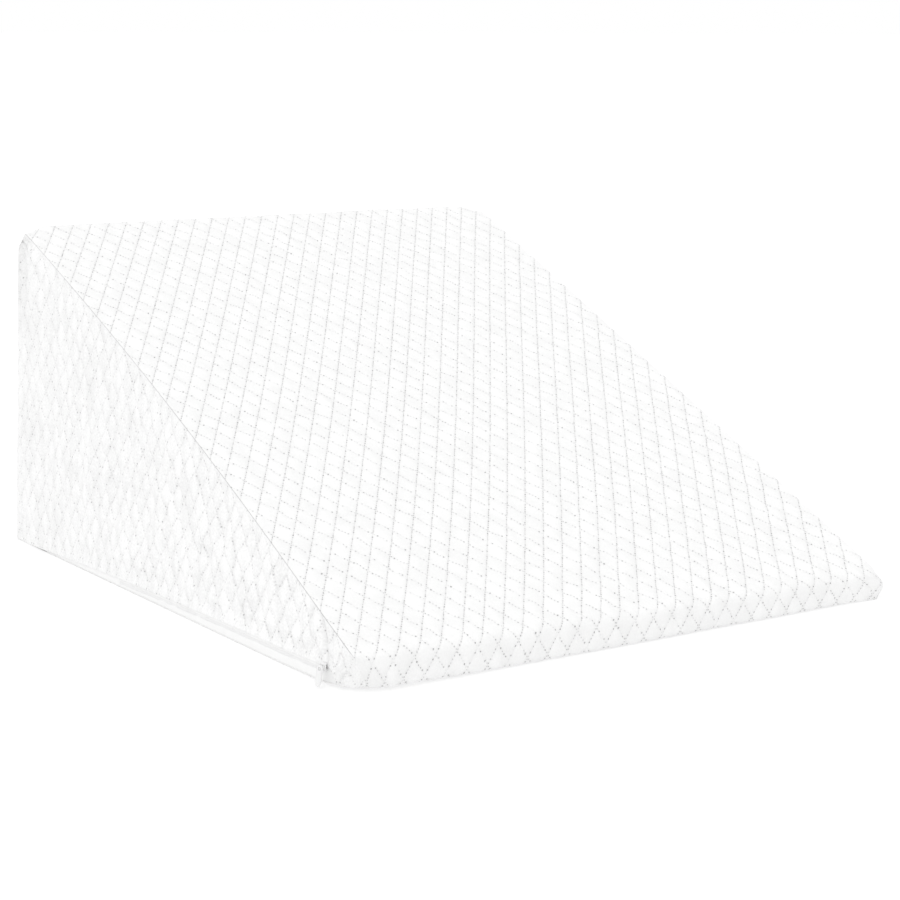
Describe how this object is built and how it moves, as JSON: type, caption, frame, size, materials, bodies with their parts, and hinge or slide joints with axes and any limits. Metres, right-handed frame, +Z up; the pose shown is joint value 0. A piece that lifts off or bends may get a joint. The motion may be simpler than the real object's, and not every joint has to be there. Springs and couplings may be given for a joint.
{
  "type": "wedge leg pillow",
  "caption": "Foam wedge pillow for raising the legs: tall square back, long slope, low rounded nose, taut diamond-knit cover with a zip along the lower left edge.",
  "frame": {"origin": "under the middle of the whole pillow, on the surface that it stands on", "axes": "+X across to the pillow's right as seen from its low nose, +Y from the low nose to the tall back, +Z up"},
  "size_m": [0.5732, 0.635, 0.306],
  "materials": {
    "knit_cover": "matte white jacquard knit with small sunken dots between soft diamonds",
    "zip_tape": "matte white woven tape",
    "zip_plastic": "white plastic, slightly glossy"
  },
  "bodies": {
    "root": {"wedge_cushion": "knit_cover", "side_panel_left": "knit_cover", "side_panel_right": "knit_cover", "zip_tape": "zip_tape", "zip_teeth": "zip_plastic", "zip_slider": "zip_plastic", "zip_puller": "zip_plastic"}
  },
  "joints": []
}
